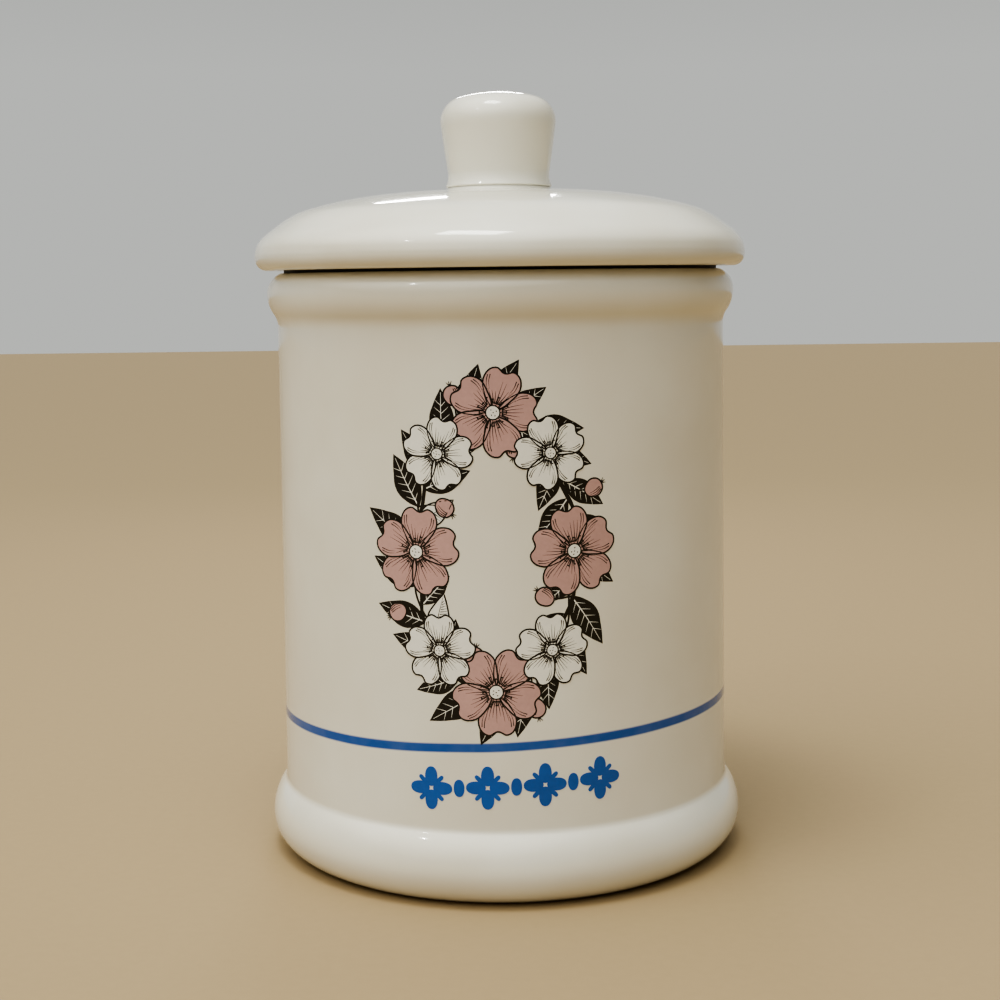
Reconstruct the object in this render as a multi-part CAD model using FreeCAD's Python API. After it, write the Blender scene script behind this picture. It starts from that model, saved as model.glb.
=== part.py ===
import FreeCAD, Part
import math
import os

from FreeCAD import Vector

# Covered stoneware keeper for bacon fat. Millimetres, +Z up, foot on z = 0, axis of the jar on Z.
# The knob's top is the highest point.

# Jar
jar_height = 183.2
body_radius = 71.2
jar_wall = 5.4
jar_floor = 5.5
floor_corner = 11.0

# Foot bead and the unglazed ring under it
foot_swell = 4.4
foot_widest_height = 10.8
foot_upper_round = 16.0
foot_ring_outer_inset = 4.2
foot_ring_width = 6.5
foot_recess = 2.5
foot_crease_round = 3.0

# Rolled collar at the mouth
collar_swell = 3.25
collar_widest_drop = 6.4
collar_height = 14.4
collar_crease_round = 6.0

# Mouth: a straight bore, then a ledge that carries the strainer
mouth_inset = 5.2
rim_land = 4.0
rim_edge_round = 0.8
ledge_width = 4.0
ledge_height = 6.0
ledge_run_out = 7.0

# Lid
lid_overhang = 3.65
lid_rise = 24.6
lid_widest_rise = 4.4
lip_round = 3.8
lid_shell = 5.6
flange_depth = 10.0
flange_wall = 5.0
flange_edge_round = 1.2
lid_inner_round = 6.0
lid_hollow_fall = 7.5
boss_height = 1.2
boss_inset = 0.35

# Knob, stuck on with slip, with a tenon through the lid and a vent up its middle
knob_radius = 18.45
knob_neck_radius = 16.3
knob_foot_flare = 0.65
knob_height = 30.6
knob_widest_height = 21.0
knob_shoulder_round = 8.0
knob_neck_height = 5.0
knob_foot_edge = 0.5
knob_crown = 9.0
tenon_radius = 8.0
vent_radius = 3.5
slip_gap = 0.1

# Seal ring round the lid's flange
seal_lip = 0.8
seal_lip_inset = 1.0
seal_leg = 1.9
seal_fin = 1.0
seal_fin_height = 1.6
seal_fin_spread = 1.7
seal_bead = 0.9
seal_bead_height = 2.0
seal_bead_drop = 4.6
seal_leg_below = 3.6

# Drop-in strainer, pressed from sheet
strainer_sheet = 1.0
strainer_taper = 7.5
strainer_depth = 36.0
strainer_bend = 2.5
strainer_floor_bend = 6.0
strainer_lip_height = 3.0
strainer_fit = 0.7
strainer_bore_gap = 6.0
strainer_headroom = 3.0
hole_radius = 1.25
hole_pitch = 8.0
hole_land = 1.0
wall_hole_count = 30
wall_hole_levels = (0.35, 0.6)

# Lifting strap of the strainer
strap_width = 9.0
strap_sheet = 1.2
strap_headroom = 6.0
strap_leave_drop = 6.0
strap_weld_length = 13.0
weld_gap = 0.25

# Clearances
turn_gap = 0.3
bore_gap = 0.4

# Derived sizes
foot_radius = body_radius + foot_swell
collar_radius = body_radius + collar_swell
mouth_radius = body_radius - mouth_inset
ledge_radius = mouth_radius - ledge_width
inner_radius = body_radius - jar_wall
ledge_z = jar_height + seal_lip - flange_depth - strainer_headroom - strainer_sheet
rim_radius = mouth_radius + rim_land
lid_seat_z = jar_height + seal_lip
lid_radius = collar_radius + lid_overhang
lid_top_z = lid_seat_z + lid_rise
boss_top_z = lid_top_z + boss_height
lid_ceiling_z = lid_top_z - lid_shell
knob_foot_radius = knob_neck_radius + knob_foot_flare
boss_radius = knob_foot_radius - boss_inset
seal_outer = mouth_radius - bore_gap
seal_leg_outer = seal_outer - seal_fin
seal_leg_inner = seal_leg_outer - seal_leg
flange_outer = seal_leg_inner - turn_gap
flange_inner = flange_outer - flange_wall
bead_z = lid_seat_z - seal_bead_drop
strainer_radius_top = ledge_radius - strainer_bore_gap
strainer_radius_floor = strainer_radius_top - strainer_taper
strainer_floor_z = ledge_z + strainer_sheet - strainer_depth
strap_crown = lid_ceiling_z - strap_headroom
strap_leave_z = ledge_z - strap_leave_drop
hole_reach = strainer_radius_floor - strainer_floor_bend - hole_radius - hole_land
hole_rings = int(hole_reach / hole_pitch)


def at(radius, height):
    return Vector(radius, 0, height)


def line(start, end):
    return Part.LineSegment(start, end).toShape()


def arc(start, through, end):
    return Part.Arc(start, through, end).toShape()


def spin(edges):
    # One closed half section turned about the axis.
    face = Part.Face(Part.Wire(edges))
    return face.revolve(Vector(0, 0, 0), Vector(0, 0, 1), 360)


def polygon(corners):
    return [line(a, b) for a, b in zip(corners, corners[1:] + corners[:1])]


def ring_edges(solid, radius, height):
    # Circular edges of the given radius at the given height.
    found = []
    for edge in solid.Edges:
        curve = edge.Curve
        if not isinstance(curve, Part.Circle):
            continue
        if abs(curve.Radius - radius) < 0.02 and abs(curve.Center.z - height) < 0.02:
            found.append(edge)
    return found


def soften(solid, radius, height, rounding):
    return solid.makeFillet(rounding, ring_edges(solid, radius, height))


def round_point(centre_r, centre_z, radius, degrees):
    turn = math.radians(degrees)
    return at(centre_r + radius * math.cos(turn), centre_z + radius * math.sin(turn))


def make_jar():
    # Lower half of the foot bead: a round from the ring to the widest point.
    ring_outer = body_radius - foot_ring_outer_inset
    reach = foot_radius - ring_outer
    lower = (reach ** 2 + foot_widest_height ** 2) / (2 * reach)
    lower_start = math.degrees(math.asin(foot_widest_height / lower))
    foot_low = round_point(foot_radius - lower, foot_widest_height, lower, -lower_start / 2)

    # Upper half, up to where it meets the wall.
    upper_end = math.degrees(math.acos(1 - foot_swell / foot_upper_round))
    upper_centre = foot_radius - foot_upper_round
    foot_high = round_point(upper_centre, foot_widest_height, foot_upper_round, upper_end / 2)
    foot_top = round_point(upper_centre, foot_widest_height, foot_upper_round, upper_end)

    # Collar: a fuller round above its widest point than below.
    widest_z = jar_height - collar_widest_drop
    collar_foot_z = jar_height - collar_height
    fall = collar_radius - rim_radius
    over = (fall ** 2 + collar_widest_drop ** 2) / (2 * fall)
    over_end = math.degrees(math.asin(collar_widest_drop / over))
    collar_high = round_point(collar_radius - over, widest_z, over, over_end / 2)
    drop = widest_z - collar_foot_z
    under = (collar_swell ** 2 + drop ** 2) / (2 * collar_swell)
    under_end = math.degrees(math.asin(drop / under))
    collar_low = round_point(collar_radius - under, widest_z, under, -under_end / 2)

    floor_z = foot_recess + jar_floor
    ledge_foot_z = ledge_z - ledge_height
    wall_top_z = ledge_foot_z - ledge_run_out
    corner_centre = inner_radius - floor_corner
    floor_round = round_point(corner_centre, floor_z + floor_corner, floor_corner, -45)
    ring_inner = ring_outer - foot_ring_width

    outline = [
        line(at(0, foot_recess), at(ring_inner - foot_recess, foot_recess)),
        line(at(ring_inner - foot_recess, foot_recess), at(ring_inner, 0)),
        line(at(ring_inner, 0), at(ring_outer, 0)),
        arc(at(ring_outer, 0), foot_low, at(foot_radius, foot_widest_height)),
        arc(at(foot_radius, foot_widest_height), foot_high, foot_top),
        line(foot_top, at(body_radius, collar_foot_z)),
        arc(at(body_radius, collar_foot_z), collar_low, at(collar_radius, widest_z)),
        arc(at(collar_radius, widest_z), collar_high, at(rim_radius, jar_height)),
        line(at(rim_radius, jar_height), at(mouth_radius, jar_height)),
        line(at(mouth_radius, jar_height), at(mouth_radius, ledge_z)),
        line(at(mouth_radius, ledge_z), at(ledge_radius, ledge_z)),
        line(at(ledge_radius, ledge_z), at(ledge_radius, ledge_foot_z)),
        line(at(ledge_radius, ledge_foot_z), at(inner_radius, wall_top_z)),
        line(at(inner_radius, wall_top_z), at(inner_radius, floor_z + floor_corner)),
        arc(at(inner_radius, floor_z + floor_corner), floor_round, at(corner_centre, floor_z)),
        line(at(corner_centre, floor_z), at(0, floor_z)),
        line(at(0, floor_z), at(0, foot_recess)),
    ]
    jar = spin(outline)
    jar = soften(jar, body_radius, foot_top.z, foot_crease_round)
    jar = soften(jar, body_radius, collar_foot_z, collar_crease_round)
    jar = soften(jar, mouth_radius, jar_height, rim_edge_round)
    jar = soften(jar, ledge_radius, ledge_z, rim_edge_round)
    jar = soften(jar, ledge_radius, ledge_foot_z, 2.0)
    return soften(jar, inner_radius, wall_top_z, 4.0)


def crown_curve():
    # The lid's crown, from the edge of the boss to the widest point of the lip.
    widest_z = lid_seat_z + lid_widest_rise
    rise = lid_top_z - widest_z
    spread = lid_radius - knob_foot_radius
    # Shares of the run out from the boss, and of the fall below the crown.
    shares = [(0.0, 0.0), (0.38, 0.068), (0.64, 0.205), (0.81, 0.38), (0.918, 0.605), (1.0, 1.0)]
    points = []
    for out, fall in shares:
        points.append(at(knob_foot_radius + spread * out, lid_top_z - rise * fall))
    curve = Part.BSplineCurve()
    curve.interpolate(Points=points, InitialTangent=Vector(1, 0, -0.03), FinalTangent=Vector(0, 0, -1))
    return curve


def make_lid():
    crown = crown_curve()
    lip_centre = lid_radius - lip_round
    lip_mid = round_point(lip_centre, lid_seat_z + lip_round, lip_round, -45)
    flange_foot_z = lid_seat_z - flange_depth
    shoulder_z = lid_ceiling_z - lid_hollow_fall
    hole_radius_lid = tenon_radius + slip_gap
    ceiling_mid = at(flange_inner * 0.6, lid_ceiling_z - lid_hollow_fall * 0.27)
    outline = [
        line(at(hole_radius_lid, lid_ceiling_z), at(hole_radius_lid, boss_top_z)),
        line(at(hole_radius_lid, boss_top_z), at(boss_radius, boss_top_z)),
        line(at(boss_radius, boss_top_z), crown.StartPoint),
        crown.toShape(),
        line(crown.EndPoint, at(lid_radius, lid_seat_z + lip_round)),
        arc(at(lid_radius, lid_seat_z + lip_round), lip_mid, at(lip_centre, lid_seat_z)),
        line(at(lip_centre, lid_seat_z), at(flange_outer, lid_seat_z)),
        line(at(flange_outer, lid_seat_z), at(flange_outer, flange_foot_z)),
        line(at(flange_outer, flange_foot_z), at(flange_inner, flange_foot_z)),
        line(at(flange_inner, flange_foot_z), at(flange_inner, shoulder_z)),
        arc(at(flange_inner, shoulder_z), ceiling_mid, at(hole_radius_lid, lid_ceiling_z)),
    ]
    lid = spin(outline)
    lid = soften(lid, flange_inner, shoulder_z, lid_inner_round)
    lid = soften(lid, flange_outer, flange_foot_z, flange_edge_round)
    lid = soften(lid, flange_inner, flange_foot_z, flange_edge_round)
    # Groove that keeps the seal's bead, with running room all round it.
    groove_floor = seal_leg_inner - seal_bead - bore_gap
    groove_half = seal_bead_height / 2 + turn_gap
    groove = ring_block(groove_floor, flange_outer + 1, bead_z - groove_half, bead_z + groove_half)
    return lid.cut(groove)


def ring_block(inner, outer, low, high):
    corners = [at(inner, low), at(outer, low), at(outer, high), at(inner, high)]
    return spin(polygon(corners))


def make_knob():
    foot_z = boss_top_z
    top_z = foot_z + knob_height
    widest_z = foot_z + knob_widest_height
    neck_z = foot_z + knob_neck_height
    # Side from the neck up to the widest point, bulging a little.
    side_mid = at((knob_neck_radius + knob_radius) / 2 + 0.1, (neck_z + widest_z) / 2)
    # Shoulder and crown.
    shoulder = round_point(knob_radius - knob_shoulder_round, widest_z, knob_shoulder_round, 40)
    shoulder_end = round_point(knob_radius - knob_shoulder_round, widest_z, knob_shoulder_round, 72)
    sag = top_z - shoulder_end.z
    crown_round = (shoulder_end.x ** 2 + sag ** 2) / (2 * sag)
    crown_edge = math.degrees(math.asin(shoulder_end.x / crown_round))
    crown_mid = round_point(0, top_z - crown_round, crown_round, 90 - crown_edge / 2)
    flare_mid = at(knob_neck_radius + (knob_foot_radius - knob_neck_radius) * 0.22, foot_z + knob_neck_height * 0.4)
    outline = [
        line(at(0, lid_ceiling_z), at(tenon_radius, lid_ceiling_z)),
        line(at(tenon_radius, lid_ceiling_z), at(tenon_radius, foot_z)),
        line(at(tenon_radius, foot_z), at(knob_foot_radius - knob_foot_edge, foot_z)),
        line(at(knob_foot_radius - knob_foot_edge, foot_z), at(knob_foot_radius, foot_z + knob_foot_edge)),
        arc(at(knob_foot_radius, foot_z + knob_foot_edge), flare_mid, at(knob_neck_radius, neck_z)),
        arc(at(knob_neck_radius, neck_z), side_mid, at(knob_radius, widest_z)),
        arc(at(knob_radius, widest_z), shoulder, shoulder_end),
        arc(shoulder_end, crown_mid, at(0, top_z)),
        line(at(0, top_z), at(0, lid_ceiling_z)),
    ]
    knob = spin(outline)
    vent_depth = top_z - knob_crown - lid_ceiling_z
    vent = Part.makeCylinder(vent_radius, vent_depth, at(0, lid_ceiling_z))
    vent_end = Part.makeSphere(vent_radius, at(0, lid_ceiling_z + vent_depth))
    return knob.cut(vent.fuse(vent_end))


def make_seal():
    # An L section: the lip lies between lid and jar, the leg hangs in the mouth round the flange.
    lip_outer = rim_radius - seal_lip_inset
    leg_foot_z = bead_z - seal_leg_below
    fin_low = bead_z - seal_fin_spread
    fin_high = bead_z + seal_fin_spread
    corners = [
        at(seal_leg_inner, lid_seat_z),
        at(seal_leg_inner, bead_z + seal_bead_height / 2),
        at(seal_leg_inner - seal_bead, bead_z + seal_bead_height / 4),
        at(seal_leg_inner - seal_bead, bead_z - seal_bead_height / 4),
        at(seal_leg_inner, bead_z - seal_bead_height / 2),
        at(seal_leg_inner, leg_foot_z),
        at(seal_leg_outer, leg_foot_z),
    ]
    for fin_z in (fin_low, fin_high):
        corners.append(at(seal_leg_outer, fin_z - seal_fin_height / 2))
        corners.append(at(seal_outer, fin_z))
        corners.append(at(seal_leg_outer, fin_z + seal_fin_height / 2))
    corners.append(at(seal_leg_outer, jar_height))
    corners.append(at(lip_outer, jar_height))
    corners.append(at(lip_outer, lid_seat_z))
    return spin(polygon(corners))


def make_strainer_pan():
    rim_outer = mouth_radius - strainer_fit
    sheet = strainer_sheet
    top_z = ledge_z + sheet
    lip_z = ledge_z + strainer_lip_height
    floor_z = strainer_floor_z
    # Outside face first, then back up the inside face.
    outline = polygon([
        at(0, floor_z - sheet),
        at(strainer_radius_floor, floor_z - sheet),
        at(strainer_radius_top, ledge_z),
        at(rim_outer, ledge_z),
        at(rim_outer, lip_z),
        at(rim_outer - sheet, lip_z),
        at(rim_outer - sheet, top_z),
        at(strainer_radius_top - sheet, top_z),
        at(strainer_radius_floor - sheet, floor_z),
        at(0, floor_z),
    ])
    pan = spin(outline)
    pan = soften(pan, strainer_radius_floor, floor_z - sheet, strainer_floor_bend + sheet)
    pan = soften(pan, strainer_radius_floor - sheet, floor_z, strainer_floor_bend)
    pan = soften(pan, strainer_radius_top, ledge_z, strainer_bend)
    pan = soften(pan, strainer_radius_top - sheet, top_z, strainer_bend + sheet)
    drills = []
    for ring in range(hole_rings + 1):
        count = max(1, 6 * ring)
        for step in range(count):
            turn = 2 * math.pi * step / count
            reach = ring * hole_pitch
            place = Vector(reach * math.cos(turn), reach * math.sin(turn), floor_z - 3 * sheet)
            drills.append(Part.makeCylinder(hole_radius, 5 * sheet, place))
    for level in wall_hole_levels:
        height = floor_z + strainer_depth * level
        for step in range(wall_hole_count):
            turn = 2 * math.pi * (step + 0.5) / wall_hole_count
            out = Vector(math.cos(turn), math.sin(turn), 0)
            place = out * (strainer_radius_floor - 4 * sheet) + Vector(0, 0, height)
            drills.append(Part.makeCylinder(hole_radius, strainer_taper + 6 * sheet, place, out))
    return pan.cut(Part.makeCompound(drills))


def mirror(point):
    return Vector(-point.x, 0, point.z)


def make_strainer_strap():
    # The strap's two feet lie on the pan's wall and the middle arches up into the lid's hollow.
    sheet = strainer_sheet
    slope = strainer_taper / strainer_depth
    along = Vector(slope, 0, 1).normalize()
    inward = Vector(-along.z, 0, along.x)

    def wall_point(height):
        # Middle of the strap where it lies on the inside of the wall.
        reach = strainer_radius_floor - sheet + slope * (height - strainer_floor_z)
        return at(reach, height) + inward * (strap_sheet / 2 + weld_gap)

    foot = wall_point(strap_leave_z - strap_weld_length)
    leave = wall_point(strap_leave_z)
    half = strap_sheet / 2
    crown_z = strap_crown - half
    rise = crown_z - leave.z
    bow = (leave.x ** 2 + rise ** 2) / (2 * rise)
    centre_z = crown_z - bow

    def face_points(offset):
        # Foot and leaving point of one face; the leaving point is where line and bow cross.
        low = foot - inward * offset
        reach = bow + offset
        toward = low - at(0, centre_z)
        middle = toward.dot(along)
        span = math.sqrt(middle ** 2 - toward.dot(toward) + reach ** 2)
        return low, low + along * (span - middle), at(0, centre_z + reach)

    low_out, leave_out, top_out = face_points(half)
    low_in, leave_in, top_in = face_points(-half)
    section = Part.Face(Part.Wire([
        line(mirror(low_out), mirror(leave_out)),
        arc(mirror(leave_out), top_out, leave_out),
        line(leave_out, low_out),
        line(low_out, low_in),
        line(low_in, leave_in),
        arc(leave_in, top_in, mirror(leave_in)),
        line(mirror(leave_in), mirror(low_in)),
        line(mirror(low_in), mirror(low_out)),
    ]))
    strap = section.extrude(Vector(0, strap_width, 0))
    strap.translate(Vector(0, -strap_width / 2, 0))
    return strap


def save(shape, node):
    solids = shape.Solids
    print(node, "solids", len(solids), "valid", shape.isValid(), "volume", round(shape.Volume))
    shape.exportStep("parts/" + node + ".step")


os.makedirs("parts", exist_ok=True)
save(make_jar(), "jar")
save(make_lid(), "lid")
save(make_knob(), "lid_knob")
save(make_seal(), "lid_seal")
save(make_strainer_pan(), "strainer_pan")
save(make_strainer_strap(), "strainer_strap")
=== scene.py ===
import bpy
import math
import random
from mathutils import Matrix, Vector


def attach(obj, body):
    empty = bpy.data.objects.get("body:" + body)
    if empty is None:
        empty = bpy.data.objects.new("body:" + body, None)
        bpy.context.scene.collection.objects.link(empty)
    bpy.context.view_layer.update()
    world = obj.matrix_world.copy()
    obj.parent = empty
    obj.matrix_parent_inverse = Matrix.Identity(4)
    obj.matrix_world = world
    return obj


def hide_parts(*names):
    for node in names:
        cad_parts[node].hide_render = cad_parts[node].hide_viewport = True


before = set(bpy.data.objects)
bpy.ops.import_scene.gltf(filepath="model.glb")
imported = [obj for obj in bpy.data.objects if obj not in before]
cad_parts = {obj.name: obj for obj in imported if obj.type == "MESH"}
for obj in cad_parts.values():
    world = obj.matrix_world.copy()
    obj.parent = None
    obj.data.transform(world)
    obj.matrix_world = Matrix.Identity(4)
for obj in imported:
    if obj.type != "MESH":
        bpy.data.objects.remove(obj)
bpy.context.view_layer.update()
bpy.ops.object.select_all(action="DESELECT")
mm = 0.001


# small tools

def colour(hexCode):
    # sRGB hex to the linear values that the shader wants
    parts = [int(hexCode[i:i + 2], 16) / 255 for i in (1, 3, 5)]
    return [c / 12.92 if c <= 0.04045 else ((c + 0.055) / 1.055) ** 2.4 for c in parts] + [1.0]


def addNode(tree, kind, settings=None, links=None):
    # settings go to an input of that name or number, or else to the node itself
    node = tree.nodes.new(kind)
    for name, value in (settings or {}).items():
        if isinstance(name, int) or name in node.inputs:
            node.inputs[name].default_value = value
        else:
            setattr(node, name, value)
    for name, source in (links or {}).items():
        tree.links.new(source, node.inputs[name])
    return node


def bend(centreR, centreZ, radius, start, end, steps):
    # points along a round of the section, in millimetres
    points = []
    for i in range(steps + 1):
        turn = math.radians(start + (end - start) * i / steps)
        points.append((centreR + radius * math.cos(turn), centreZ + radius * math.sin(turn)))
    return points


def smoothThrough(points, between):
    # a flowing line through a few points
    ends = [points[0]] + list(points) + [points[-1]]
    line = []
    for i in range(1, len(ends) - 2):
        p0, p1, p2, p3 = ends[i - 1:i + 3]
        for k in range(between):
            t = k / between
            line.append(tuple(
                0.5 * (2 * b + (c - a) * t + (2 * a - 5 * b + 4 * c - d) * t * t + (3 * b - a - 3 * c + d) * t ** 3)
                for a, b, c, d in zip(p0, p1, p2, p3)))
    line.append(points[-1])
    return line


def turnOnWheel(name, rings, spokes, closed=False):
    # throws a round piece: one ring, then extruded and resized up the section
    firstR, firstZ = rings[0]
    bpy.ops.mesh.primitive_circle_add(vertices=spokes, radius=firstR * mm, location=(0, 0, firstZ * mm))
    piece = bpy.context.object
    piece.name = name
    bpy.ops.object.transform_apply(location=True)
    bpy.ops.object.mode_set(mode="EDIT")
    bpy.ops.mesh.select_all(action="SELECT")
    lastR, lastZ = firstR, firstZ
    for r, z in rings[1:]:
        bpy.ops.mesh.extrude_region_move(TRANSFORM_OT_translate={"value": (0, 0, (z - lastZ) * mm)})
        if abs(r - lastR) > 1e-6:
            bpy.ops.transform.resize(value=(r / lastR, r / lastR, 1), center_override=(0, 0, 0))
        lastR, lastZ = r, z
    if not closed:
        bpy.ops.mesh.merge(type="CENTER")  # the pole at the end
    bpy.ops.mesh.select_all(action="SELECT")
    bpy.ops.mesh.remove_doubles(threshold=1e-6)
    if not closed:
        bpy.ops.mesh.select_all(action="DESELECT")
        bpy.ops.mesh.select_mode(type="EDGE")
        bpy.ops.mesh.select_non_manifold()
        bpy.ops.mesh.merge(type="CENTER")  # and the one at the start
    bpy.ops.mesh.select_all(action="SELECT")
    bpy.ops.mesh.normals_make_consistent(inside=False)
    bpy.ops.object.mode_set(mode="OBJECT")
    bpy.ops.object.shade_smooth_by_angle(angle=math.radians(40))
    piece.select_set(False)
    return piece


# the camera, at the photograph's angle

cameraPlace = {
    "distance": 554.0,   # mm from the jar's axis
    "height": 180.3,     # mm over the table
    "pitch": 4.00,       # degrees down
    "roll": 0.70,        # the photograph leans a little
    "focal": 1717.0,     # pixels in a 1000 pixel frame
    "frame": 1000.0,
    "sensor": 36.0,      # mm
    "shiftY": -0.10,     # of the frame, so the picture is cut lower than the lens looks
}

print("camera")
cameraData = bpy.data.cameras.new("photoCamera")
camera = bpy.data.objects.new("photoCamera", cameraData)
bpy.context.scene.collection.objects.link(camera)
bpy.context.scene.camera = camera
cameraData.sensor_width = cameraPlace["sensor"]
cameraData.lens = cameraPlace["focal"] / cameraPlace["frame"] * cameraPlace["sensor"]
cameraData.shift_y = cameraPlace["shiftY"]
cameraData.clip_start = 0.01
cameraData.clip_end = 50
camera.location = (0, -cameraPlace["distance"] * mm, cameraPlace["height"] * mm)
camera.rotation_mode = "XYZ"
camera.rotation_euler = (math.radians(90 - cameraPlace["pitch"]), math.radians(cameraPlace["roll"]), 0)

# glaze, enamel, steel and rubber

clearGloss = {"IOR": 1.5, "Coat Weight": 0.35, "Coat Roughness": 0.03}  # a fired glass, over body and enamel alike
glazeLook = {
    "cream": "#E4DFD0",       # the glaze over buff clay
    "thick": "#EBE8DC",       # where it has pooled
    "clay": "#CDB89A",        # bare stoneware on the foot ring
    "bandBlue": "#1C5AA8",
    "bandHeight": 47.0,       # mm, at the front
    "bandWidth": 2.5,
    "bandTilt": 0.036,        # the band runs a little uphill to the right
    "bandWaver": 0.7,         # mm, of the brush
    "bandFrom": 69.0,         # mm from the axis, so the band is on the outside only
    "clayRoughness": 0.85,
    "poolSize": 45.0,         # mm across one patch of thicker glaze
    "rippleSize": 16.0,       # mm, the slow wave in a poured glaze
    "peelSize": 1.6,          # mm, orange peel, drawn coarser than the real 0.5
}


def newMaterial(name):
    material = bpy.data.materials.new(name)
    material.use_nodes = True
    material.node_tree.nodes.clear()
    return material, material.node_tree


def glazedStoneware(name, banded):
    # poured cream glaze over stoneware: a deep clear gloss that rolls slowly, slightly warmer where it is thin
    look = glazeLook
    material, tree = newMaterial(name)
    place = addNode(tree, "ShaderNodeTexCoord").outputs["Object"]
    pool = addNode(tree, "ShaderNodeTexNoise", {"Scale": 1000 / look["poolSize"], "Detail": 3.0},
                   {"Vector": place}).outputs["Fac"]
    thick = addNode(tree, "ShaderNodeMapRange", {"From Min": 0.35, "From Max": 0.68},
                    {"Value": pool}).outputs["Result"]
    skin = addNode(tree, "ShaderNodeMix", {"data_type": "RGBA", 6: colour(look["cream"]), 7: colour(look["thick"])},
                   {0: thick}).outputs[2]
    rough = addNode(tree, "ShaderNodeMapRange", {"To Min": 0.075, "To Max": 0.12},
                    {"Value": pool}).outputs["Result"]
    if banded:
        axes = addNode(tree, "ShaderNodeSeparateXYZ", {}, {"Vector": place})
        # the banding wheel: height over the band's tilted middle, with the brush's small waver
        brush = addNode(tree, "ShaderNodeTexNoise", {"Scale": 26.0, "Detail": 1.0}, {"Vector": place})
        middle = (look["bandHeight"] + look["bandWaver"] / 2) * mm
        waver = addNode(tree, "ShaderNodeMath", {"operation": "MULTIPLY_ADD", 1: look["bandWaver"] * mm, 2: -middle},
                        {0: brush.outputs["Fac"]})
        tilted = addNode(tree, "ShaderNodeMath", {"operation": "MULTIPLY_ADD", 1: -look["bandTilt"]},
                         {0: axes.outputs["X"], 2: axes.outputs["Z"]})
        fromBand = addNode(tree, "ShaderNodeMath", {"operation": "ADD"}, {0: tilted.outputs[0], 1: waver.outputs[0]})
        away = addNode(tree, "ShaderNodeMath", {"operation": "ABSOLUTE"}, {0: fromBand.outputs[0]})
        half = look["bandWidth"] * mm / 2
        painted = addNode(tree, "ShaderNodeMapRange",
                          {"From Min": half - 0.2 * mm, "From Max": half + 0.3 * mm, "To Min": 1.0, "To Max": 0.0},
                          {"Value": away.outputs[0]})
        flat = addNode(tree, "ShaderNodeCombineXYZ", {}, {"X": axes.outputs["X"], "Y": axes.outputs["Y"]})
        outward = addNode(tree, "ShaderNodeVectorMath", {"operation": "LENGTH"}, {0: flat.outputs[0]})
        outside = addNode(tree, "ShaderNodeMath", {"operation": "GREATER_THAN", 1: look["bandFrom"] * mm},
                          {0: outward.outputs["Value"]})
        paint = addNode(tree, "ShaderNodeMath", {"operation": "MULTIPLY"},
                        {0: painted.outputs["Result"], 1: outside.outputs[0]})
        streak = addNode(tree, "ShaderNodeTexNoise", {"Scale": 140.0, "Detail": 2.0}, {"Vector": place})
        strength = addNode(tree, "ShaderNodeMapRange",
                           {"From Min": 0.2, "From Max": 0.6, "To Min": 0.94, "To Max": 1.0},
                           {"Value": streak.outputs["Fac"]})
        cover = addNode(tree, "ShaderNodeMath", {"operation": "MULTIPLY"},
                        {0: paint.outputs[0], 1: strength.outputs["Result"]})
        skin = addNode(tree, "ShaderNodeMix", {"data_type": "RGBA", 7: colour(look["bandBlue"])},
                       {0: cover.outputs[0], 6: skin}).outputs[2]
        # the foot ring is wiped clean of glaze before firing, so it is dry clay
        wiped = addNode(tree, "ShaderNodeMath", {"operation": "MULTIPLY_ADD", 1: 0.8 * mm},
                        {0: pool, 2: axes.outputs["Z"]})
        bare = addNode(tree, "ShaderNodeMapRange",
                       {"From Min": 0.6 * mm, "From Max": 1.2 * mm, "To Min": 1.0, "To Max": 0.0},
                       {"Value": wiped.outputs[0]}).outputs["Result"]
        skin = addNode(tree, "ShaderNodeMix", {"data_type": "RGBA", 7: colour(look["clay"])},
                       {0: bare, 6: skin}).outputs[2]
        rough = addNode(tree, "ShaderNodeMix", {"data_type": "FLOAT", 3: look["clayRoughness"]},
                        {0: bare, 2: rough}).outputs[0]
    ripple = addNode(tree, "ShaderNodeTexNoise", {"Scale": 1000 / look["rippleSize"], "Detail": 1.0},
                     {"Vector": place})
    peel = addNode(tree, "ShaderNodeTexNoise", {"Scale": 1000 / look["peelSize"], "Detail": 1.0},
                   {"Vector": place})
    rolling = addNode(tree, "ShaderNodeBump", {"Strength": 0.10, "Distance": 0.9 * mm},
                      {"Height": ripple.outputs["Fac"]})
    peeled = addNode(tree, "ShaderNodeBump", {"Strength": 0.03, "Distance": 0.1 * mm},
                     {"Height": peel.outputs["Fac"], "Normal": rolling.outputs[0]})
    surface = addNode(tree, "ShaderNodeBsdfPrincipled", clearGloss,
                      {"Base Color": skin, "Roughness": rough, "Normal": peeled.outputs[0]})
    addNode(tree, "ShaderNodeOutputMaterial", {}, {"Surface": surface.outputs[0]})
    return material


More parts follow.
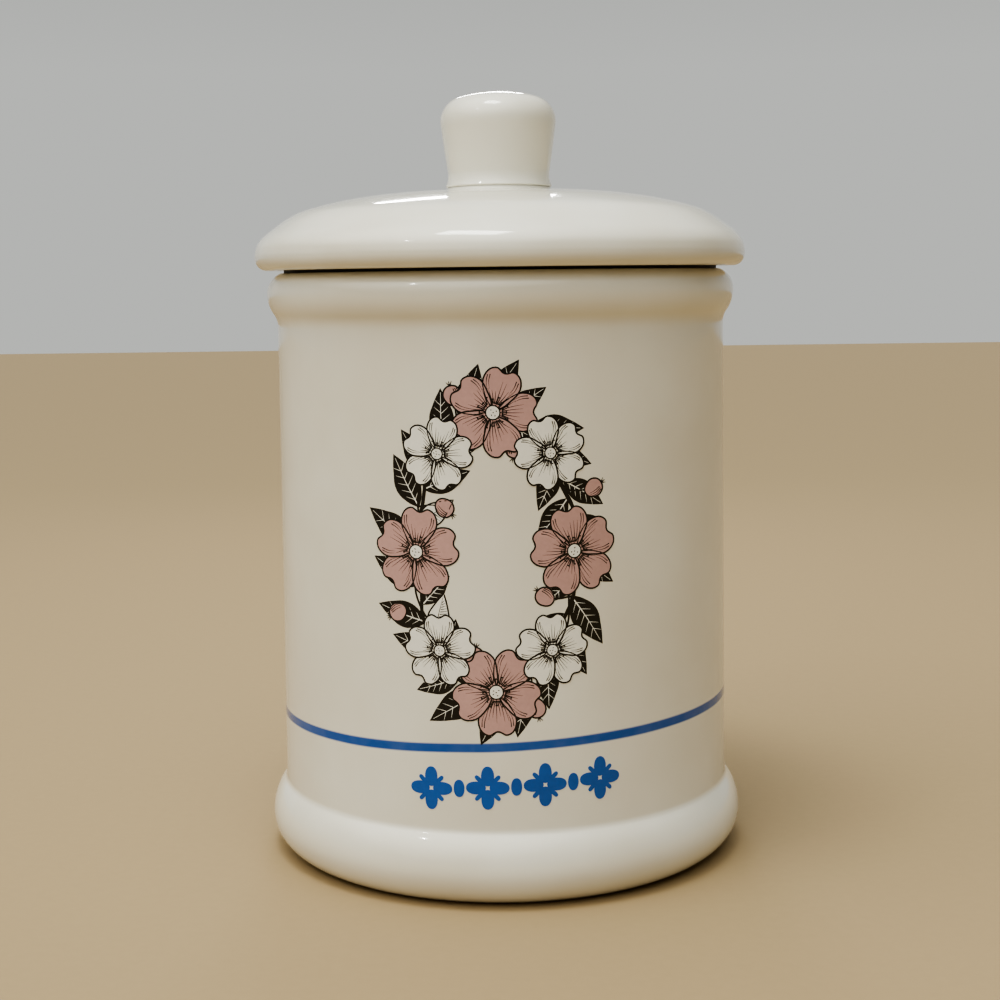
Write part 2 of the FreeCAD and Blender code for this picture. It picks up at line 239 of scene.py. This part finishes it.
def firedEnamel(name, hexCode, mottle):
    # overglaze colour melted into the glaze: flat printed ink under the same gloss
    material, tree = newMaterial(name)
    place = addNode(tree, "ShaderNodeTexCoord").outputs["Object"]
    grain = addNode(tree, "ShaderNodeTexNoise", {"Scale": 900.0, "Detail": 3.0}, {"Vector": place})
    cloud = addNode(tree, "ShaderNodeTexNoise", {"Scale": 120.0, "Detail": 2.0}, {"Vector": place})
    both = addNode(tree, "ShaderNodeMath", {"operation": "ADD"}, {0: grain.outputs["Fac"], 1: cloud.outputs["Fac"]})
    level = addNode(tree, "ShaderNodeMapRange",
                    {"From Min": 0.6, "From Max": 1.4, "To Min": 1 - mottle, "To Max": 1 + mottle},
                    {"Value": both.outputs[0]})
    ink = addNode(tree, "ShaderNodeHueSaturation", {"Color": colour(hexCode)}, {"Value": level.outputs["Result"]})
    surface = addNode(tree, "ShaderNodeBsdfPrincipled", {"Roughness": 0.14, **clearGloss},
                      {"Base Color": ink.outputs[0]})
    addNode(tree, "ShaderNodeOutputMaterial", {}, {"Surface": surface.outputs[0]})
    return material


def satinStainless(name, along):
    # pressed stainless sheet with the fine lines of the rolling mill, softly bright
    material, tree = newMaterial(name)
    place = addNode(tree, "ShaderNodeTexCoord").outputs["Object"]
    stretched = addNode(tree, "ShaderNodeMapping", {"Scale": along}, {"Vector": place})
    lines = addNode(tree, "ShaderNodeTexNoise", {"Scale": 1500.0, "Detail": 3.0}, {"Vector": stretched.outputs[0]})
    smudge = addNode(tree, "ShaderNodeTexNoise", {"Scale": 60.0, "Detail": 3.0}, {"Vector": place})
    tone = addNode(tree, "ShaderNodeMix", {"data_type": "RGBA", 6: colour("#B9B8B4"), 7: colour("#D2D1CD")},
                   {0: lines.outputs["Fac"]})
    rough = addNode(tree, "ShaderNodeMapRange", {"To Min": 0.22, "To Max": 0.42}, {"Value": smudge.outputs["Fac"]})
    relief = addNode(tree, "ShaderNodeBump", {"Strength": 0.15, "Distance": 0.03 * mm},
                     {"Height": lines.outputs["Fac"]})
    surface = addNode(tree, "ShaderNodeBsdfPrincipled", {"Metallic": 1.0},
                      {"Base Color": tone.outputs[2], "Roughness": rough.outputs["Result"],
                       "Normal": relief.outputs[0]})
    addNode(tree, "ShaderNodeOutputMaterial", {}, {"Surface": surface.outputs[0]})
    return material


def mouldedRubber(name):
    # dark nitrile, moulded: matt with a faint bloom
    material, tree = newMaterial(name)
    place = addNode(tree, "ShaderNodeTexCoord").outputs["Object"]
    bloom = addNode(tree, "ShaderNodeTexNoise", {"Scale": 90.0, "Detail": 4.0}, {"Vector": place})
    grain = addNode(tree, "ShaderNodeTexNoise", {"Scale": 1400.0, "Detail": 2.0}, {"Vector": place})
    tone = addNode(tree, "ShaderNodeMix", {"data_type": "RGBA", 6: colour("#1E1917"), 7: colour("#332B28")},
                   {0: bloom.outputs["Fac"]})
    rough = addNode(tree, "ShaderNodeMapRange", {"To Min": 0.5, "To Max": 0.7}, {"Value": bloom.outputs["Fac"]})
    relief = addNode(tree, "ShaderNodeBump", {"Strength": 0.2, "Distance": 0.04 * mm},
                     {"Height": grain.outputs["Fac"]})
    surface = addNode(tree, "ShaderNodeBsdfPrincipled", {"IOR": 1.52},
                      {"Base Color": tone.outputs[2], "Roughness": rough.outputs["Result"],
                       "Normal": relief.outputs[0]})
    addNode(tree, "ShaderNodeOutputMaterial", {}, {"Surface": surface.outputs[0]})
    return material


def dress(piece, material):
    piece.data.materials.clear()
    piece.data.materials.append(material)


# the jar

print("jar")
jarSection = (
    [(6, 2.5), (30, 2.5), (57.2, 2.5), (58, 2.5), (60.2, 0.3), (60.5, 0), (60.9, 0), (66.4, 0)]
    + bend(64.519, 10.8, 11.081, -77.06, 0, 16)       # under half of the foot bead
    + bend(59.6, 10.8, 16.0, 0, 39.79, 12)[1:]        # upper half
    + bend(74.2, 22.96, 3.0, 219.79, 180, 6)[1:]      # crease
    + [(71.2, 23.4), (71.2, 45), (71.2, 95), (71.2, 145), (71.2, 166.2)]
    + bend(77.2, 166.651, 6.0, 180, 144.49, 6)
    + bend(62.979, 176.8, 11.471, -35.51, 0, 12)[1:]  # collar, under half
    + bend(67.623, 176.8, 6.827, 0, 69.62, 12)[1:]    # collar, upper half
    + [(69.7, 183.2), (67.2, 183.2)]
    + bend(66.8, 182.4, 0.8, 90, 180, 4)
    + [(66, 182), (66, 170.4), (66, 170), (65.6, 170), (63.2, 170)]
    + bend(62.8, 169.2, 0.8, 90, 180, 4)              # ledge for the strainer
    + [(62, 168.8), (62, 165.4), (62.15, 164.3), (62.6, 163.2), (64.9, 159.2), (65.6, 157.6), (65.8, 156)]
    + [(65.8, 155.4), (65.8, 100), (65.8, 19.4)]
    + bend(54.8, 19.0, 11.0, 0, -90, 10)
    + [(54.2, 8), (30, 8), (6, 8)]
)
jarPiece = turnOnWheel("jarShell", jarSection, 192)
dress(jarPiece, glazedStoneware("creamGlazeOnJar", True))
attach(jarPiece, "jar")
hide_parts("jar")


# the lid and its knob

print("lid")
lidSection = (
    [(8.1, 209.8), (8.5, 209.8), (16.3, 209.8), (16.55, 209.72), (16.65, 209.5), (16.9, 208.85), (17.4, 208.62)]
    + smoothThrough([(18.6, 208.55), (28.33, 208.17), (39.68, 207.28), (50.94, 205.56), (61.99, 202.84),
                     (67.19, 200.53), (71.87, 197.3), (75.4, 194.5), (77.35, 191.9), (78.05, 189.3),
                     (78.1, 187.8)], 4)
    + bend(74.3, 187.8, 3.8, 0, -90, 8)[1:]           # the thick rounded lip
    + [(73.9, 184), (62.8, 184), (62.4, 184), (62.4, 183.6)]
    + [(62.4, 180.7), (61.4, 180.7), (61.4, 178.1), (62.4, 178.1), (62.4, 175.6)]  # groove for the seal's bead
    + bend(61.2, 175.2, 1.2, 0, -90, 4)
    + bend(58.6, 175.2, 1.2, -90, -180, 4)
    + [(57.4, 175.6), (57.4, 190.6)]
    + smoothThrough([(57.4, 191.05), (56.85, 193.55), (55.31, 195.6), (53.06, 196.82)], 3)
    + smoothThrough([(51.5, 197.35), (42.01, 199.57), (30.8, 201.52), (19.48, 202.67), (8.6, 203.0)], 3)
    + [(8.1, 203), (8.1, 203.4), (8.1, 209.4), (8.1, 209.8)]
)
lidPiece = turnOnWheel("lidShell", lidSection, 192, closed=True)
dress(lidPiece, glazedStoneware("creamGlazeOnLid", False))
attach(lidPiece, "lid")
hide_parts("lid")

knobSection = (
    bend(0, 231.4, 3.5, 75, 0, 6)
    + [(3.5, 231), (3.5, 203.3), (3.5, 203), (3.8, 203), (7.7, 203), (8, 203), (8, 203.3)]  # vent and tenon
    + [(8, 209.8), (8.4, 209.8), (16.1, 209.8), (16.45, 209.8), (16.75, 209.95), (16.95, 210.3), (16.72, 210.9)]
    + smoothThrough([(16.5, 211.6), (16.3, 212.6), (16.22, 213.65), (16.3, 214.8), (16.91, 218.79),
                     (17.47, 222.79), (17.99, 226.79), (18.38, 229.6)], 3)
    + bend(10.45, 230.8, 8.0, 0, 72, 12)
    + bend(0, 197.48, 42.92, 72.45, 89.2, 8)[1:]
)
knobPiece = turnOnWheel("knob", knobSection, 128)
dress(knobPiece, glazedStoneware("creamGlazeOnKnob", False))
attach(knobPiece, "lid")
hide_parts("lid_knob")


# the seal ring and the strainer keep their CAD shape

print("seal and strainer")
dress(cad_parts["lid_seal"], mouldedRubber("mouldedRubber"))
dress(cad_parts["strainer_pan"], satinStainless("satinStainlessPan", (1.0, 1.0, 0.04)))
dress(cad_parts["strainer_strap"], satinStainless("satinStainlessStrap", (0.04, 1.0, 0.04)))


# fired-on decoration: an oval wreath of dog roses, and a row of small blue rosettes under the band

wreathLook = {
    "middle": (-2.5, 103.0),   # mm along the wall from the front, and over the table
    "halfWidth": 23.0,         # mm to the stem
    "halfHeight": 40.0,
    "roseSize": 12.5,          # mm, one petal's length
    "leafSize": 15.5,
    "inkWidth": 0.46,
    "pink": "#C7A29D",
    "paper": "#EFEDE4",
    "ink": "#15110F",
    "blue": "#1F60B0",
    "leafLift": 0.012,         # mm over the glaze: the colours are printed in this order
    "vineLift": 0.024,
    "roseLift": 0.070,
    "paleOverPink": 0.055,
    "inkOver": 0.003,          # of each outline over its own colour
    "hipSize": 5.6,
    "hipLift": 0.048,
    "hipLine": 0.28,
    "hipTuft": 0.42,
}
rosetteLook = {
    "middle": (3.0, 35.4),     # mm, as for the wreath
    "step": 8.3,               # mm from rosette to lozenge
    "rosette": 6.3,
    "lozenge": 3.2,
}
firing = {
    "wall": 71.2,              # mm, the wall's radius
    "strokeFlat": 0.04,        # a round stroke is pressed to this share of its height
    "strip": 1.5,              # mm, width of the strips that let flat colour bend round the wall
    "thickness": 0.08,         # mm, of the flat colours
}
random.seed(7)


def place2d(points, middle, size, turn):
    c, s = math.cos(turn), math.sin(turn)
    return [(middle[0] + size * (x * c - y * s), middle[1] + size * (x * s + y * c)) for x, y in points]


def fillShape(layer, points, lift, tips=()):
    # a closed flat outline with flowing edges, pointed at its tips
    data = bpy.data.curves.new("fill", "CURVE")
    data.dimensions = "2D"
    data.fill_mode = "BOTH"
    data.resolution_u = 6
    spline = data.splines.new("BEZIER")
    spline.bezier_points.add(len(points) - 1)
    spline.use_cyclic_u = True
    for i, (knot, (x, y)) in enumerate(zip(spline.bezier_points, points)):
        knot.co = (x, y, 0)
        knot.handle_left_type = knot.handle_right_type = "VECTOR" if i in tips else "AUTO"
    shape = bpy.data.objects.new("fill", data)
    shape.location.z = lift
    bpy.context.scene.collection.objects.link(shape)
    layer.append(shape)


def drawLine(layer, points, width, lift, taper=0.35, closed=False, tips=()):
    # one pen stroke, thinning towards its far end
    data = bpy.data.curves.new("stroke", "CURVE")
    data.dimensions = "3D"
    data.bevel_depth = width / 2
    data.bevel_resolution = 1
    data.resolution_u = 5
    data.use_fill_caps = True
    spline = data.splines.new("BEZIER")
    spline.bezier_points.add(len(points) - 1)
    spline.use_cyclic_u = closed
    last = max(1, len(points) - 1)
    for i, (knot, (x, y)) in enumerate(zip(spline.bezier_points, points)):
        knot.co = (x, y, 0)
        knot.handle_left_type = knot.handle_right_type = "VECTOR" if i in tips else "AUTO"
        knot.radius = 1.0 if closed else 1.0 - (1.0 - taper) * i / last
    stroke = bpy.data.objects.new("stroke", data)
    stroke.location.z = lift
    bpy.context.scene.collection.objects.link(stroke)
    layer.append(stroke)


def fireOn(name, layer, hexCode, mottle, strokes):
    # joins a layer, cuts it fine across, and lays it on the wall
    bpy.ops.object.select_all(action="DESELECT")
    for shape in layer:
        shape.select_set(True)
    bpy.context.view_layer.objects.active = layer[0]
    bpy.ops.object.convert(target="MESH")
    flat = firing["strokeFlat"] if strokes else 1.0
    for shape in layer:
        for vertex in shape.data.vertices:
            vertex.co = (vertex.co.x, vertex.co.y, vertex.co.z * flat + shape.location.z)
        shape.location.z = 0
    bpy.ops.object.join()
    piece = bpy.context.object
    piece.name = name
    if not strokes:
        bpy.ops.object.mode_set(mode="EDIT")
        low = min(v.co.x for v in piece.data.vertices)
        high = max(v.co.x for v in piece.data.vertices)
        cut = low + firing["strip"]
        while cut < high:
            bpy.ops.mesh.select_all(action="SELECT")
            bpy.ops.mesh.bisect(plane_co=(cut, 0, 0), plane_no=(1, 0, 0))
            cut += firing["strip"]
        bpy.ops.object.mode_set(mode="OBJECT")
    for vertex in piece.data.vertices:
        turn = vertex.co.x / firing["wall"]
        reach = (firing["wall"] + vertex.co.z) * mm
        vertex.co = (reach * math.sin(turn), -reach * math.cos(turn), vertex.co.y * mm)
    if strokes:
        bpy.ops.object.mode_set(mode="EDIT")
        bpy.ops.mesh.select_all(action="SELECT")
        bpy.ops.mesh.normals_make_consistent(inside=False)
        bpy.ops.object.mode_set(mode="OBJECT")
    else:
        for face in piece.data.polygons:
            if face.normal.dot(Vector((face.center.x, face.center.y, 0))) < 0:
                face.flip()
        shell = piece.modifiers.new("thickness", "SOLIDIFY")
        shell.thickness = firing["thickness"] * mm
        shell.offset = -1
        bpy.ops.object.modifier_apply(modifier="thickness")
    bpy.ops.object.shade_smooth_by_angle(angle=math.radians(35))
    dress(piece, firedEnamel("fired" + name[0].upper() + name[1:], hexCode, mottle))
    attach(piece, "jar")
    piece.select_set(False)


petalShape = [(0.08, 0.04), (0.36, 0.31), (0.76, 0.43), (1.0, 0.24), (0.92, 0.0), (1.0, -0.22), (0.76, -0.43),
              (0.36, -0.31), (0.08, -0.04)]
leafShape = [(0, 0), (0.18, 0.15), (0.46, 0.25), (0.78, 0.15), (1.06, 0.0), (0.8, -0.14), (0.48, -0.24),
             (0.18, -0.15)]
pinkLayer, paperLayer, leafLayer, inkLayer, veinLayer, blueLayer = [], [], [], [], [], []


def drawRose(middle, size, turn, layer, over):
    # five notched petals, each over the last, with pen shading from the heart outwards
    ink = wreathLook["inkWidth"]
    for k in range(5):
        way = turn + k * math.radians(72)
        lift = over + 0.009 * k
        penLift = lift + wreathLook["inkOver"]
        outline = place2d(petalShape, middle, size, way)
        fillShape(layer, outline, lift)
        drawLine(inkLayer, outline + [outline[0]], ink, penLift, taper=1.0)
        for spread in (-0.22, -0.15, -0.08, -0.01, 0.06, 0.13, 0.20):
            reach = 0.44 + 0.30 * random.random()
            pen = [(0.20, spread * 0.35), (0.34, spread * 0.8), (reach, spread * 1.35)]
            drawLine(inkLayer, place2d(pen, middle, size, way), ink * 0.8, penLift, taper=0.12)
        for edge in (-0.40, -0.34, 0.35, 0.41):
            back = abs(edge) * 0.4
            pen = [(0.96 - back, edge * 0.9), (0.80 - back, edge * 0.86), (0.62 - back, edge * 0.66)]
            drawLine(inkLayer, place2d(pen, middle, size, way), ink * 0.6, penLift, taper=0.15)
    top = over + 0.048
    heart = [(0.16 * math.cos(a), 0.16 * math.sin(a)) for a in [math.radians(45 * i) for i in range(8)]]
    outline = place2d(heart, middle, size, turn)
    for i in range(16):
        way = turn + i * 2 * math.pi / 16
        reach = 0.29 + 0.06 * (i % 2)
        drawLine(inkLayer, place2d([(0.1, 0), (reach, 0)], middle, size, way), ink * 0.5, top, taper=0.8)
        drawLine(inkLayer, place2d([(reach, 0), (reach + 0.03, 0)], middle, size, way), ink * 1.7, top, taper=0.9)
    fillShape(paperLayer, outline, top + 0.012)
    drawLine(inkLayer, outline, ink * 0.8, top + 0.014, closed=True)
    for x, y in ((0.0, 0.0), (0.07, 0.03), (-0.05, 0.06), (-0.04, -0.06), (0.04, -0.07)):
        drawLine(inkLayer, place2d([(x, y), (x + 0.02, y)], middle, size, turn), ink * 0.9, top + 0.016, taper=0.9)


def drawLeaf(root, size, turn, dark, order):
    # dark leaves are printed solid with the veins left open, pale ones are outlined and hatched on one half
    ink = wreathLook["inkWidth"]
    lift = wreathLook["leafLift"] + 0.0002 * order + (0.0 if dark else 0.016)
    penLift = lift + wreathLook["inkOver"]
    outline = place2d(leafShape, root, size, turn)
    fillShape(leafLayer if dark else paperLayer, outline, lift, (0, 4))
    rib = place2d([(0.04, 0), (0.5, 0.015), (0.98, 0)], root, size, turn)
    drawLine(veinLayer if dark else inkLayer, rib, ink * (0.85 if dark else 0.7), penLift, taper=0.3)
    if dark:
        for along in (0.16, 0.30, 0.44, 0.58, 0.72):
            for side in (1, -1):
                reach = 0.17 - 0.16 * abs(along - 0.40)
                pen = [(along, 0.0), (along + 0.07, side * reach * 0.6), (along + 0.12, side * reach)]
                drawLine(veinLayer, place2d(pen, root, size, turn), ink * 0.45, penLift, taper=0.3)
    else:
        drawLine(inkLayer, outline, ink, penLift, closed=True, tips=(0, 4))
        for along in [0.14 + 0.055 * i for i in range(14)]:
            pen = [(along, -0.01), (along + 0.06, -0.21 * math.sin(math.pi * min(1, along + 0.08)))]
            drawLine(inkLayer, place2d(pen, root, size, turn), ink * 0.55, penLift, taper=0.3)


def onStem(share, outward=0.0):
    # a place on the oval stem, and the way it runs there
    a = share * 2 * math.pi
    x = wreathLook["middle"][0] + (wreathLook["halfWidth"] + outward) * math.sin(a)
    y = wreathLook["middle"][1] + (wreathLook["halfHeight"] + outward) * math.cos(a)
    way = math.atan2(-wreathLook["halfHeight"] * math.sin(a), wreathLook["halfWidth"] * math.cos(a))
    return (x, y), way


print("decoration")
vine = wreathLook["vineLift"]
thickStem = [onStem(i / 40, 0.9 * math.sin(i * 1.7))[0] for i in range(40)]
thinStem = [onStem(i / 40 + 0.01, -1.3 * math.sin(i * 1.3))[0] for i in range(40)]
drawLine(inkLayer, thickStem, 1.1, vine, closed=True)
drawLine(inkLayer, thinStem, 0.6, vine, closed=True)
for i in range(44):
    spot, way = onStem(i / 44 + 0.006)
    side = 1 if i % 2 else -1
    lean = 0.65 + 0.40 * random.random()
    big = wreathLook["leafSize"] * (0.80 + 0.35 * random.random()) * (0.80 if side < 0 else 1.0)
    drawLeaf(spot, big, way + side * lean, i % 6 != 4, i)
for i in range(8):
    # rose hips on short stalks, between the roses
    share = 0.065 + i / 8
    outward = 8.2 if i % 2 else -7.4
    spot, way = onStem(share, outward)
    stalk = [onStem(share - 0.012, 0)[0], onStem(share - 0.004, outward * 0.5)[0], spot]
    drawLine(inkLayer, stalk, 0.55, vine + 0.004, taper=0.8)
    hip = [(0.52, 0.0), (0.30, 0.40), (-0.20, 0.40), (-0.50, 0.0), (-0.20, -0.40), (0.30, -0.40)]
    size, lift = wreathLook["hipSize"], wreathLook["hipLift"]
    penLift = lift + wreathLook["inkOver"]
    middleX, middleY = wreathLook["middle"]
    tilt = math.atan2(spot[1] - middleY, spot[0] - middleX) + (0 if outward > 0 else math.pi)
    outline = place2d(hip, spot, size, tilt)
    fillShape(pinkLayer, outline, lift)
    drawLine(inkLayer, outline, wreathLook["inkWidth"], penLift, closed=True)
    for bow in (-0.30, -0.22, -0.13):
        pen = [(0.34, bow), (0.0, bow * 1.25), (-0.32, bow)]
        drawLine(inkLayer, place2d(pen, spot, size, tilt), wreathLook["hipLine"], penLift, taper=0.3)
    for fan in (-0.5, 0.0, 0.5):
        pen = [(0.5, 0.0), (0.5 + 0.26 * math.cos(fan), 0.30 * math.sin(fan))]
        drawLine(inkLayer, place2d(pen, spot, size, tilt), wreathLook["hipTuft"], penLift, taper=0.3)
for number in range(8):
    spot, way = onStem(number / 8)
    isPink = number % 2 == 0
    size = wreathLook["roseSize"] * (1.0 if isPink else 0.82)
    lift = wreathLook["roseLift"] + (0.0 if isPink else wreathLook["paleOverPink"])
    drawRose(spot, size, way + 0.4 * number, pinkLayer if isPink else paperLayer, lift)
broadDrop = [(0.08, 0.0), (0.55, 0.30), (1.0, 0.0), (0.55, -0.30)]
slimDrop = [(0.30, 0.0), (0.52, 0.10), (0.80, 0.0), (0.52, -0.10)]
lozenge = [(0.5, 0.0), (0.0, 0.8), (-0.5, 0.0), (0.0, -0.8)]
for i in range(7):
    along = (i - 3) * rosetteLook["step"]
    spot = (rosetteLook["middle"][0] + along, rosetteLook["middle"][1] + glazeLook["bandTilt"] * along)
    if i % 2 == 0:
        for k in range(4):
            for drop, turn in ((broadDrop, 90 * k), (slimDrop, 90 * k + 45)):
                outline = place2d(drop, spot, rosetteLook["rosette"], math.radians(turn))
                fillShape(blueLayer, outline, wreathLook["roseLift"])
    else:
        fillShape(blueLayer, place2d(lozenge, spot, rosetteLook["lozenge"], 0), wreathLook["roseLift"])
fireOn("wreathLeaves", leafLayer, wreathLook["ink"], 0.25, False)
fireOn("wreathPink", pinkLayer, wreathLook["pink"], 0.06, False)
fireOn("wreathPale", paperLayer, wreathLook["paper"], 0.03, False)
fireOn("wreathVeins", veinLayer, wreathLook["paper"], 0.03, True)
fireOn("wreathInk", inkLayer, wreathLook["ink"], 0.25, True)
fireOn("blueRosettes", blueLayer, wreathLook["blue"], 0.10, False)


# floor and light

studio = {
    "floor": "#A79270",
    "air": (0.61, 0.62, 0.60, 1.0),
    "exposure": -0.80,
    "dim": 0.08,               # strength of the room's darkest parts
    "walls": 0.42,             # and of its walls near the horizon
    "frontWay": (-0.34, -0.40, 0.85),
    "front": 5.2,
    "overhead": 2.2,
    "behind": 0.75,
}
softBoxes = [
    # name, place and aim in metres, width and depth, watts, tint
    ("topBox", (-0.13, -0.25, 1.15), (0, 0, 0.15), (0.35, 0.25), 5.5, (0.98, 1.0, 0.96)),
    ("cupboardStrip", (-0.043, 0.75, 0.54), (0, 0, 0.2), (0.215, 0.03), 1.0, (1.0, 1.0, 0.98)),
    ("leftLamp", (-0.95, -0.85, 1.25), (0, 0, 0.15), (0.04, 0.04), 1.1, (1.0, 0.99, 0.96)),
]

print("stage")
bpy.ops.mesh.primitive_plane_add(size=8.0, location=(0, 0, 0))
floorPiece = bpy.context.object
floorPiece.name = "paleFloor"
floorMaterial, tree = newMaterial("palePaint")
place = addNode(tree, "ShaderNodeTexCoord").outputs["Object"]
speckle = addNode(tree, "ShaderNodeTexNoise", {"Scale": 300.0, "Detail": 4.0}, {"Vector": place})
shade = addNode(tree, "ShaderNodeMapRange", {"To Min": 0.97, "To Max": 1.03}, {"Value": speckle.outputs["Fac"]})
floorTone = addNode(tree, "ShaderNodeHueSaturation", {"Color": colour(studio["floor"])},
                    {"Value": shade.outputs["Result"]})
floorSurface = addNode(tree, "ShaderNodeBsdfPrincipled", {"Roughness": 0.7}, {"Base Color": floorTone.outputs[0]})
addNode(tree, "ShaderNodeOutputMaterial", {}, {"Surface": floorSurface.outputs[0]})
dress(floorPiece, floorMaterial)

bpy.context.scene.view_settings.look = "AgX - High Contrast"
bpy.context.scene.view_settings.exposure = studio["exposure"]
world = bpy.data.worlds.new("room")
bpy.context.scene.world = world
world.use_nodes = True
tree = world.node_tree
tree.nodes.clear()
# the room by direction: a dim kitchen, light from overhead and from the upper front left, and a pale wall behind
way = addNode(tree, "ShaderNodeTexCoord").outputs["Generated"]
axes = addNode(tree, "ShaderNodeSeparateXYZ", {}, {"Vector": way})
facing = addNode(tree, "ShaderNodeVectorMath", {"operation": "DOT_PRODUCT", 1: studio["frontWay"]}, {0: way})
roomParts = []
for source, start, full, least, most in (
        (facing.outputs["Value"], 0.62, 1.0, studio["dim"], studio["front"]),
        (axes.outputs["Z"], 0.35, 1.0, 0.0, studio["overhead"]),
        (axes.outputs["Z"], 0.32, 0.12, 0.0, studio["walls"]),
        (axes.outputs["Y"], 0.45, 0.85, 0.0, studio["behind"])):
    part = addNode(tree, "ShaderNodeMapRange",
                   {"From Min": start, "From Max": full, "To Min": least, "To Max": most}, {"Value": source})
    roomParts.append(part.outputs["Result"])
level = roomParts[0]
for part in roomParts[1:]:
    level = addNode(tree, "ShaderNodeMath", {"operation": "ADD"}, {0: level, 1: part}).outputs[0]
room = addNode(tree, "ShaderNodeBackground", {"Color": studio["air"]}, {"Strength": level})
addNode(tree, "ShaderNodeOutputWorld", {}, {"Surface": room.outputs[0]})

for name, place, aim, (width, depth), watts, tint in softBoxes:
    data = bpy.data.lights.new(name, "AREA")
    data.shape = "RECTANGLE"
    data.size = width
    data.size_y = depth
    data.energy = watts
    data.color = tint
    light = bpy.data.objects.new(name, data)
    bpy.context.scene.collection.objects.link(light)
    light.location = place
    light.rotation_euler = (Vector(aim) - Vector(place)).to_track_quat("-Z", "Y").to_euler()
